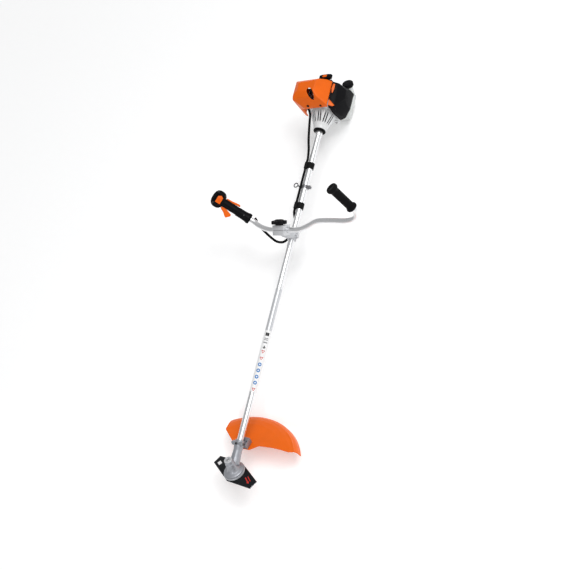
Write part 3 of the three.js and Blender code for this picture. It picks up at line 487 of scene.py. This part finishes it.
def shroud():
    """The orange cover with its opening over the spark plug."""
    body = copy_of("engine_shroud")
    hole = [(x * PLUG_OPENING["half_length"], y * PLUG_OPENING["half_width"]) for x, y in round_mark(1, 40)]
    place = (PLACE @ Matrix.Translation(PLUG_OPENING["centre"])
             @ Matrix.Rotation(PLUG_OPENING["turn"], 4, "Z"))
    carve(body, plate("plug_way", hole, 60, 170, LOOK["orange_plastic"], place, 0))
    rounded(body, 1.2, 40)
    settle(body, "machine", "orange_plastic", "engine_shroud")


def shaft_entry():
    """The black collar at the end of the bell and the metal sleeve in front of it."""
    collar = [(13.3, -482.6), (25.6, -482.6), (26.6, -481.4), (27, -479.4), (26.6, -477.8), (25, -476.8),
              (22, -476.4), (16.2, -476.2), (13.3, -476.2)]
    boot = lathe("shaft_collar_boot", collar, LOOK["rubber"], ALONG_X)
    settle(boot, "machine", "rubber", "shaft_collar")
    ferrule = [(13.1, -476), (15.2, -476), (15.6, -475.4), (15.6, -456), (15, -454.4), (13.1, -453.6)]
    settle(lathe("tube_ferrule", ferrule, LOOK["alloy_tube"], ALONG_X, 72), "machine", "alloy_tube")


def fuel_cap():
    """The ribbed cap and the bead round the filler that it closes on."""
    outline = [(0, 33), (13.6, 33), (14.4, 34), (14.4, 44), (19.6, 44), (19.6, 36.6), (23.4, 36.2),
               (24.5, 37.4), (24.5, 50.6), (23.8, 52.4), (22, 53.8), (19.6, 54), (18.8, 53.1), (13, 53),
               (12.2, 53.9), (0, 54)]
    place = aimed(FILLER_BASE, FILLER_AXIS)
    cap = lathe("fuel_cap_ribbed", outline, LOOK["black_plastic"], place, sides=192, sharp=45, closed=False,
                ribs=(24, 1.5, 23))
    settle(cap, "fuel_cap", "black_plastic", "fuel_cap")
    bead = [(19.2, 33.4), (20.6, 33.8), (20.6, 35.6), (19.2, 36)]
    settle(lathe("filler_bead", bead, LOOK["tank_plastic"], place), "machine", "tank_plastic")


def starter_pull():
    """The rope, as a tube along a fixed route from the housing up towards the grip, and the grip's orange
    insert.
    """
    route = [(*ROPE_XY, z) for z in (50, 59, 68, 76)]
    rope = pipe("starter_rope_braid", route, ROPE_R, LOOK["rubber"], steps=60, sides=14,
                wave=lambda d: 0.1 * math.sin(d * 4))
    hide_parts("starter_rope")
    mm(*ROPE_XY, 56)
    mm(*ROPE_XY, 73)
    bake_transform(rope)
    insert = plate("starter_grip_insert", [(x * 6, y * 11) for x, y in oval(28)], -1.5, 0.9,
                   LOOK["orange_plastic"], PLACE @ Matrix.Translation((*ROPE_XY, 110)), 0.5, 2)
    settle(insert, "starter_grip", "orange_plastic")


def fasteners():
    """Screws in the white housing and the black buttons along the shroud's front seam."""
    for i, where in enumerate([(-551, 42, -50), (-565, -49, -47), (-565, 49, 46)]):
        screw_head(f"housing_screw_{i}", PLACE @ Matrix.Translation(where) @ FACING_FRONT, 5, "machine",
                   "steel", 3)
    button = [(0, 0), (5.6, 0), (5.6, 1.6), (4.6, 2.6), (2.2, 2.6), (1.8, 1.8), (0, 1.8)]
    lean = Matrix.Rotation(math.radians(84), 4, "Y")
    for i, where in enumerate([(-552.6, -29, 88), (-552.6, 31, 82)]):
        place = PLACE @ Matrix.Translation(where) @ lean
        settle(lathe(f"shroud_button_{i}", button, LOOK["rubber"], place, 40, closed=False),
               "machine", "rubber")


def engine():
    shroud()
    crisp("filter_cover", 2.2, 4, angle=20)
    bell_housing()
    moulded("starter_housing", 0.9, 7)
    moulded("fuel_tank", 1.1, 10)
    moulded("starter_grip", 0.6, 9)
    for node, width, segments in (("engine_stand", 1.2, 3), ("choke_lever", 0.8, 3), ("cover_clip", 0.8, 3),
                                  ("muffler", 1.5, 3), ("crankcase", 1.2, 3), ("carburettor", 0.6, 2)):
        crisp(node, width, segments)
    for node in ("cylinder", "spark_plug", "plug_boot", "flywheel", "rope_pulley"):
        crisp(node, 0.3, 2)
    shaft_entry()
    fuel_cap()
    starter_pull()
    fasteners()


# ---- tube ----------------------------------------------------------------------------------------
def drive_tube():
    chamfer = 0.4
    profile = [(TUBE_BORE, TUBE_REAR), (TUBE_R - chamfer, TUBE_REAR), (TUBE_R, TUBE_REAR + chamfer),
               (TUBE_R, TUBE_FRONT - chamfer), (TUBE_R - chamfer, TUBE_FRONT), (TUBE_BORE, TUBE_FRONT)]
    tube = lathe("drive_tube_skin", profile, LOOK["alloy_tube"], ALONG_X, 96)
    settle(tube, "machine", "alloy_tube", "drive_tube")


LABEL_SIDE = math.radians(54.7)  # the print's middle, turned from +Y towards +Z
BAND_CLEARANCE, BAND_R = 0.01, TUBE_R + 0.12
INK_CLEARANCE, INK_THICK = 0.2, 0.08
LABEL_START, LABEL_JOIN, LABEL_END = 253, 430, 677


def raised(obj):
    """Gives a printed mark its thickness."""
    step = obj.modifiers.new("ink", "SOLIDIFY")
    step.thickness = INK_THICK / 1000
    step.offset = 1
    return baked(obj)


def loops(points, hole, rings=4):
    """Nested copies of an outline that is star-shaped about (0, 0), and the faces between them."""
    count = len(points)
    scales = [hole + (1 - hole) * i / rings for i in range(rings + 1)]
    verts, faces, first = [], [], 0
    if hole == 0:
        verts.append((0, 0))
        faces += [[0, 1 + i, 1 + (i + 1) % count] for i in range(count)]
        scales, first = scales[1:], 1
    for scale in scales:
        verts += [(x * scale, y * scale) for x, y in points]
    for k in range(len(scales) - 1):
        for i in range(count):
            a, b = first + k * count + i, first + k * count + (i + 1) % count
            faces.append([a, a + count, b + count, b])
    return verts, faces


def tube_mark(name, x, outline, look, slot, hole):
    """A printed mark wrapped on the drive tube: its outline is (along the tube, round the tube)."""
    verts, faces = loops(outline, hole)
    wrapped, r = [], TUBE_R + INK_CLEARANCE
    for u, v in verts:
        angle = LABEL_SIDE + v / TUBE_R
        wrapped.append((x + u, r * math.cos(angle), r * math.sin(angle)))
    return settle(raised(made(name, wrapped, faces, look)), "machine", slot)


def tube_label():
    inner = TUBE_R + BAND_CLEARANCE
    for name, start, end, look, slot in (
            ("label_band_rear", LABEL_START, LABEL_JOIN, PALE_GREY, "alloy_tube"),
            ("label_band_front", LABEL_JOIN, LABEL_END, WHITE, "white_plastic")):
        band = [(inner, start), (BAND_R, start), (BAND_R, end), (inner, end)]
        settle(lathe(name, band, look, ALONG_X, 96), "machine", slot)
    tee = polygon([(-6, -2), (0, -2), (0, -7), (7, 0), (0, 7), (0, 2), (-6, 2)])
    warning = polygon([(8, 0), (-5, 7.5), (-5, -7.5)])
    marks = [
        ("square", 446, oblong(6.5, 7.5), BLACK, "black_plastic", 0.0),
        ("bars", 463, oblong(1.6, 8), GREY, "black_plastic", 0.0),
        ("bars_low", 469, oblong(1.6, 8), GREY, "black_plastic", 0.0),
        ("bars_high", 480, oblong(2.4, 8), GREY, "black_plastic", 0.0),
        ("arrow", 499, tee, BLACK, "black_plastic", 0.0),
        ("triangle_rear", 517, warning, RED, "orange_plastic", 0.5),
        ("triangle_mid", 544, warning, RED, "orange_plastic", 0.5),
        ("ring_a", 569, round_mark(7.4), BLUE, "black_plastic", 0.42),
        ("ring_b", 593, round_mark(7.4), BLUE, "black_plastic", 0.42),
        ("ring_c", 618, round_mark(7.4), BLUE, "black_plastic", 0.42),
        ("ring_d", 642, round_mark(7.4), BLUE, "black_plastic", 0.42),
        ("triangle_front", 668, warning, RED, "orange_plastic", 0.5),
    ]
    for name, x, outline, look, slot, hole in marks:
        tube_mark("mark_" + name, x, outline, look, slot, hole)


STRAP_CABLE = (-15.4, 11.6)  # y and z of the throttle cable where the straps hold it
CABLE_UPPER = [(-24, -14.6, -18.6), (-42, -14.6, -17.6), (-62, -17, -12), (-78, -19.6, -3),
               (-88, -17.6, 7.5), (-95, *STRAP_CABLE), (-102, *STRAP_CABLE), (-140, *STRAP_CABLE),
               (-214, *STRAP_CABLE), (-285, *STRAP_CABLE), (-328, *STRAP_CABLE), (-340, *STRAP_CABLE),
               (-380, -19, 17), (-430, -27, 27), (-500, -35, 38), (-536, -38, 44), (-552, -41, 54),
               (-558.7, -43, 66), (-560, -43, 76), (-568, -43, 88)]
CABLE_LOWER = [(-24, -148, 84), (-20, -148, 74), (-6, -143, 62), (10, -124, 48), (30, -97, 26),
               (46, -68, 10), (44, -46, -4), (28, -34, -14), (8, -25, -19), (-8, -19, -19.4),
               (-22, -14.8, -18.8)]
CABLE_R = 5.2


def cables():
    upper = pipe("throttle_cable_rear", CABLE_UPPER, CABLE_R, LOOK["rubber"], steps=260, sides=24)
    settle(upper, "machine", "rubber", "throttle_cable_upper")
    lower = pipe("throttle_cable_front", CABLE_LOWER, CABLE_R, LOOK["rubber"], steps=140, sides=24)
    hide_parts("throttle_cable_lower")
    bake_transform(lower)
    bore = CABLE_R + 0.1
    sleeve = [(bore, 0), (6.2, 0), (6.8, 1), (6.8, 15), (6.2, 16), (bore, 16)]
    place = aimed((-46, -14.8, -17.2), (1, 0.01, -0.08))
    settle(lathe("cable_joint_sleeve", sleeve, LOOK["black_plastic"], place, 40),
           "machine", "black_plastic")


def hangers():
    for node in ("cable_strap_rear", "cable_strap_front"):
        crisp(node, 0.8, 3)
    moulded("carrying_ring", 0.55, 4, WIRE)


# ---- handlebar -----------------------------------------------------------------------------------
BAR_R, BAR_CENTRE = 11, (26, 0, 80)
# the control handle and the plain grip, each from its foot to its top
HANDLE_LOW, HANDLE_TOP = Vector((-13, -163, 100)), Vector((-56, -278, 235))
GRIP_LOW, GRIP_TOP = Vector((-22, 350, 167)), Vector((-46, 313, 281))
HANDLE_AXIS = (HANDLE_TOP - HANDLE_LOW).normalized()
GRIP_AXIS = (GRIP_TOP - GRIP_LOW).normalized()


def handlebar():
    on_handle = [HANDLE_LOW + HANDLE_AXIS * d for d in (70, 48, 24)]
    on_grip = [GRIP_LOW + GRIP_AXIS * d for d in (-18, 0, 50, 100)]
    path = [*on_handle, (-6, -146, 92), (8, -121, 85), (20, -88, 81), (26, -56, 80), (26, -32, 80),
            BAR_CENTRE, (26, 32, 80), (26, 56, 80), (24, 86, 81), (15, 124, 91), (3, 158, 101),
            (-1, 185, 105), (0, 240, 107), (2, 296, 108), (-2, 330, 114), (-9, 351, 129), *on_grip]
    bar = pipe("handlebar_tube", path, BAR_R, LOOK["alloy_tube"], steps=300, sides=40)
    settle(bar, "handlebar", "alloy_tube", "handlebar")


def plain_grip():
    length = (GRIP_TOP - GRIP_LOW).length
    ribs, first_rib, rib_pitch = 22, 19, 3.7
    profile = [(11.5, 0.3), (17, 0), (20, 0.6), (21.2, 3), (21.4, 6), (20.2, 9.5), (18.2, 12.5), (16.6, 16)]
    for i in range(ribs):
        z = first_rib + i * rib_pitch
        profile += [(15.9, z), (16.4, z + 0.7), (16.4, z + 2.4), (15.9, z + 3.1)]
    profile += [(16.6, length - 16.5), (18.6, length - 13.5), (21.2, length - 10), (22, length - 7),
                (22, length - 3), (20.7, length + 0.6), (17, length + 2), (9, length + 2),
                (7.5, length + 0.8), (0, length + 0.8)]
    place = aimed(GRIP_LOW, GRIP_AXIS)
    grip = lathe("plain_grip_rubber", profile, LOOK["rubber"], place, 64, 40, closed=False)
    settle(grip, "handlebar", "rubber", "plain_grip")


THUMB_FACING = Vector((0.274, 0.556, 0.785))  # the way the handle's thumb face looks
THUMB_SIDE = (THUMB_FACING - HANDLE_AXIS * THUMB_FACING.dot(HANDLE_AXIS)).normalized()
PALM_SIDE = HANDLE_AXIS.cross(THUMB_SIDE)
CONTROL = PLACE @ Matrix.Translation(HANDLE_LOW) @ Matrix(
    (THUMB_SIDE, PALM_SIDE, HANDLE_AXIS)).transposed().to_4x4()
FROM_THUMB = CONTROL @ Matrix.Rotation(math.pi / 2, 4, "Y")  # local +Z out of the handle's thumb face


def controls():
    moulded("control_handle", 0.8, 5)
    for node in ("throttle_trigger", "throttle_lockout", "stop_switch"):
        crisp(node, 1.2, 4)
    thumb_face, switch_face = 16.6, 18.2
    for i, (y, z) in enumerate([(-22, 166), (27, 168), (27, 134), (0, 30)]):
        where = FROM_THUMB @ Matrix.Translation((-z, y, thumb_face))
        screw_head(f"handle_screw_{i}", where, 2.9, "handlebar", "black_screw", 1.2)
    ridge = [(-1, -11), (1, -11), (1, 8), (-1, 8)]
    for i in range(3):
        place = FROM_THUMB @ Matrix.Translation((-151 + 4.5 * i, 1, switch_face))
        rib = plate(f"switch_rib_{i}", ridge, 0, 1.3, LOOK["orange_plastic"], place, 0.5, 2)
        settle(rib, "stop_switch", "orange_plastic")


CLAMP_LEAN = math.radians(30)
KNOB_AXIS = Vector((-math.cos(CLAMP_LEAN), 0, math.sin(CLAMP_LEAN)))
ACROSS_CLAMP = Vector((math.sin(CLAMP_LEAN), 0, math.cos(CLAMP_LEAN)))
CLAMP = PLACE @ Matrix.Translation(BAR_CENTRE) @ Matrix(
    (ACROSS_CLAMP, Vector((0, 1, 0)), KNOB_AXIS)).transposed().to_4x4()
KNOB_SEAT = (20, 0, 24)  # in CLAMP


def clamp():
    crisp("clamp_cap", 1.6, 4, SILVER, angle=25)
    crisp("bar_bracket", 1.0, 3, SILVER, angle=30)
    knob = [(0, -28), (3.9, -28), (3.9, -3.5), (15.6, -3.5), (16, -3), (16, 0), (29.6, 0), (31, 0.8),
            (32, 2.8), (32, 12), (31, 14.2), (29, 15), (21, 15), (20, 15.4), (18.6, 17.6), (13.4, 19.4),
            (11.4, 19.5), (10.6, 18.8), (0, 18.8)]
    lobed = lathe("clamp_knob_lobed", knob, LOOK["black_plastic"], CLAMP @ Matrix.Translation(KNOB_SEAT),
                  sides=160, sharp=40, closed=False, ribs=(8, 4, 28))
    settle(lobed, "clamp_knob", "black_plastic", "clamp_knob")
    screw_head("bracket_screw", PLACE @ Matrix.Translation((14, 22, 6)), 5, "machine", "steel", 4.6)


# ---- gear head -----------------------------------------------------------------------------------
def gear_head():
    moulded("gear_housing", 0.7, 3)
    lug = INWARD * 94 + Vector((4.5, 24, 7.8))
    far_screw = GEAR @ Matrix.Translation(lug) @ Matrix.Rotation(-math.pi / 2, 4, "X")
    screw_head("gear_screw_far", far_screw, 5, "machine", "black_screw", 4)
    cap = [(0, 50), (13.4, 50), (13.4, 51.6), (15.2, 51.8), (15.4, 52.4), (14.8, 53), (8.6, 53), (8, 52.4),
           (0, 52.4)]
    settle(lathe("gear_cap", cap, SILVER, GEAR, 64, closed=False), "machine", "cast_grey")
    grease = [(0, 0), (6, 0), (6, 1.2), (5.2, 2), (2.6, 2), (2.6, 0.8), (0, 0.8)]
    place = GEAR @ Matrix.Translation((0, 0, 52.2))
    settle(lathe("gear_grease_screw", grease, LOOK["steel"], place, 40, closed=False), "machine", "steel")
    crisp("gear_screw_top", 0.4, 2)
    crisp("gear_screw_side", 0.4, 2)
    thrust = [(5.3, -9.4), (30, -9.4), (38, -9.8), (41.2, -10.8), (42.4, -12.6), (42.6, -15.4),
              (41.8, -16.6), (5.3, -16.6)]
    settle(lathe("thrust_plate_skin", thrust, LOOK["cast_grey"], GEAR, 96), "cutter", "cast_grey",
           "thrust_plate")
    crisp("rider_plate", 0.6, 3)
    crisp("blade_nut", 0.6, 3)
    crisp("output_shaft", 0.4, 2)
    crisp("guard_bracket", 1.2, 3, BRACKET)


BLADE_TURN = Matrix.Rotation(math.radians(-31), 4, "Z")
BLADE_TOP = -17
FLAT = 0.9  # how closely a face must look along the blade's axis to be one of its flat sides
MARK_LOW, MARK_HIGH = 0.05, 0.3  # a mark's underside and top above the blade


def blade():
    body = crisp("blade", 0.9, 3)
    body.data.materials.append(GROUND_EDGE)
    for face in body.data.polygons:
        if abs(face.normal.dot(GEAR_UP)) < FLAT:
            face.material_index = 1
    arrow = polygon([(-17, -2), (8, -2), (8, -6), (17, 0), (8, 6), (8, 2), (-17, 2)], 1)
    bar = [(-13, -1.5), (13, -1.5), (13, 1.5), (-13, 1.5)]
    patch = [(-7, -8), (7, -8), (7, 8), (-7, 8)]
    for name, look, slot, x, y, turn, outline in (
            ("blade_mark_white", WHITE, "white_plastic", 26, -84, 0, patch),
            ("blade_mark_red", RED, "orange_plastic", -17, 74, 84, arrow),
            ("blade_mark_red_bar", RED, "orange_plastic", -27, 73, 84, bar)):
        place = (GEAR @ BLADE_TURN @ Matrix.Translation((x, y, BLADE_TOP))
                 @ Matrix.Rotation(math.radians(turn), 4, "Z"))
        settle(plate(name, outline, MARK_LOW, MARK_HIGH, look, place, width=0), "cutter", slot)


# the guard's section as (radius, height) in GEAR, and the angles between which it is swept
GUARD_PROFILE = [(60, 15), (110, 19), (160, 22), (200, 21), (225, 17), (240, 12), (250, 5), (256, -4),
                 (261, -20)]
GUARD_ENDS = (math.radians(-39.3), math.radians(59.9))
GUARD_THICK = 3
FOLD = {"r": 243, "rise": 2.4, "width": 2.4, "start": 28, "fade": 10}  # millimetres, then degrees


def guard_outline():
    """The guard from above: (x, y) round its edge, in the gear head's frame."""
    beyond_rim = 290
    rim = [math.radians(60 - 90 * i / 9) for i in range(10)]
    return ([(-84, -28), (-84, 30), (-108, 62), (-112, 120), (-112, 194)]
            + [(-beyond_rim * math.cos(a), beyond_rim * math.sin(a)) for a in rim]
            + [(-150, -124), (-112, -72)])


def guard_reach(outline, angle):
    """How near and how far the outline lies along a ray from the blade's axis."""
    along = Vector((-math.cos(angle), math.sin(angle)))
    across = Vector((math.sin(angle), math.cos(angle)))
    hits = []
    for a, b in zip(outline, outline[1:] + outline[:1]):
        a, b = Vector(a), Vector(b)
        da, db = a.dot(across), b.dot(across)
        if (da > 0) != (db > 0):
            hits.append(a.lerp(b, da / (da - db)).dot(along))
    return min(hits), max(hits)


def guard_height(r):
    for (r0, z0), (r1, z1) in zip(GUARD_PROFILE, GUARD_PROFILE[1:]):
        if r <= r1:
            return z0 + (z1 - z0) * (r - r0) / (r1 - r0)
    return GUARD_PROFILE[-1][1]


def fold_height(r, angle):
    """How far the fold stands up: a soft ridge along the rim that fades in from its start."""
    across = math.exp(-((r - FOLD["r"]) / FOLD["width"]) ** 2)
    along = (math.degrees(angle) - FOLD["start"]) / FOLD["fade"]
    return FOLD["rise"] * across * min(1.0, max(0.0, along))


def guard():
    """One smooth sheet, sampled more closely towards its rim, with a wall thickness."""
    outline = guard_outline()
    low, high = GUARD_ENDS
    crowding = 1.8
    columns, rows = 150, 80
    verts, faces = [], []
    for i in range(columns):
        angle = low + (high - low) * i / (columns - 1)
        near, far = guard_reach(outline, angle)
        far = min(far, GUARD_PROFILE[-1][0])
        for j in range(rows):
            t = j / (rows - 1)
            r = near + (far - near) * (1 - (1 - t) ** crowding)
            z = guard_height(r) + fold_height(r, angle)
            verts.append((-r * math.cos(angle), r * math.sin(angle), z))
    for i in range(columns - 1):
        for j in range(rows - 1):
            a = i * rows + j
            faces.append([a, a + 1, a + rows + 1, a + rows])
    sheet = made("guard_bowl", verts, faces, LOOK["orange_plastic"], GEAR, 60)
    step = sheet.modifiers.new("wall", "SOLIDIFY")
    step.thickness = GUARD_THICK / 1000
    step.offset = 1 if GEAR_UP.dot(sheet.data.polygons[0].normal) < 0 else -1
    baked(sheet)
    bevel(sheet, 0.8, 3, 50, 40)
    settle(sheet, "machine", "orange_plastic", "guard")


def hidden_nodes():
    """Pieces inside the housings keep the frame's shape and get their finish."""
    for node, obj in frame["nodes"].items():
        obj.data.materials.clear()
        obj.data.materials.append(LOOK[SLOT_OF[node]])


# ---- camera, light and floor ---------------------------------------------------------------------
CAMERA = {
    "at": (979, 1537, 2137), "lens": 42.76, "sensor": 36, "reach": 90,
    "right": (-0.237003, 0.829872, -0.505045), "up": (-0.932020, -0.047627, 0.359147),
    "back": (0.273992, 0.555831, 0.784820),
}
FLOOR = {"half": 26000, "top": -148.5, "thick": 10, "glow": 0.22}  # its top is just under the machine
SUN = {"power": 1.15, "width": math.radians(40), "towards": (0.35, -0.5, -1)}
SKY = {"colour": (0.985, 0.99, 1.0, 1), "strength": 0.42}


def camera():
    cam = bpy.data.objects.new("camera", bpy.data.cameras.new("camera"))
    bpy.context.scene.collection.objects.link(cam)
    axes = Matrix([Vector(CAMERA[axis]) for axis in ("right", "up", "back")])
    cam.matrix_world = Matrix.Translation(mm(*CAMERA["at"])) @ axes.transposed().to_4x4()
    cam.data.sensor_width = CAMERA["sensor"]
    cam.data.lens = CAMERA["lens"]
    cam.data.clip_end = CAMERA["reach"]
    bpy.context.scene.camera = cam


def pale_floor():
    paper = surface("floor_paper", (0.95, 0.95, 0.95), 0.9, grain=300, depth=0.05, change=0.01, shine=0.2)
    shader = paper.node_tree.nodes["Principled BSDF"]
    shader.inputs["Emission Color"].default_value = (1, 1, 1, 1)
    shader.inputs["Emission Strength"].default_value = FLOOR["glow"]
    half = FLOOR["half"]
    square = [(-half, -half), (half, -half), (half, half), (-half, half)]
    plate("floor", square, FLOOR["top"] - FLOOR["thick"], FLOOR["top"], paper, width=0)


def light(name, kind):
    obj = bpy.data.objects.new(name, bpy.data.lights.new(name, kind))
    bpy.context.scene.collection.objects.link(obj)
    return obj


def point_at(obj, direction):
    obj.rotation_euler = Vector(direction).to_track_quat("-Z", "Y").to_euler()


def area_light(name, where, target, size, power):
    obj = light(name, "AREA")
    obj.data.shape = "DISK"
    obj.data.size = size
    obj.data.energy = power
    obj.location = where
    point_at(obj, Vector(target) - Vector(where))


def studio():
    camera()
    pale_floor()
    sun = light("sky_panel", "SUN")
    sun.data.energy = SUN["power"]
    sun.data.angle = SUN["width"]
    point_at(sun, SUN["towards"])
    area_light("key", where=(-0.6, 1.9, 2.6), target=(-0.1, 0, 0.1), size=1.0, power=22)
    area_light("front", where=(2.6, 0.6, 1.8), target=(0.4, 0, 0.1), size=1.0, power=12)
    world = bpy.data.worlds.new("studio")
    world.use_nodes = True
    background = world.node_tree.nodes["Background"]
    background.inputs["Color"].default_value = SKY["colour"]
    background.inputs["Strength"].default_value = SKY["strength"]
    bpy.context.scene.world = world
    bpy.context.scene.view_settings.view_transform = "Standard"


studio()
hidden_nodes()
engine()
drive_tube()
tube_label()
cables()
hangers()
handlebar()
plain_grip()
controls()
clamp()
gear_head()
blade()
guard()
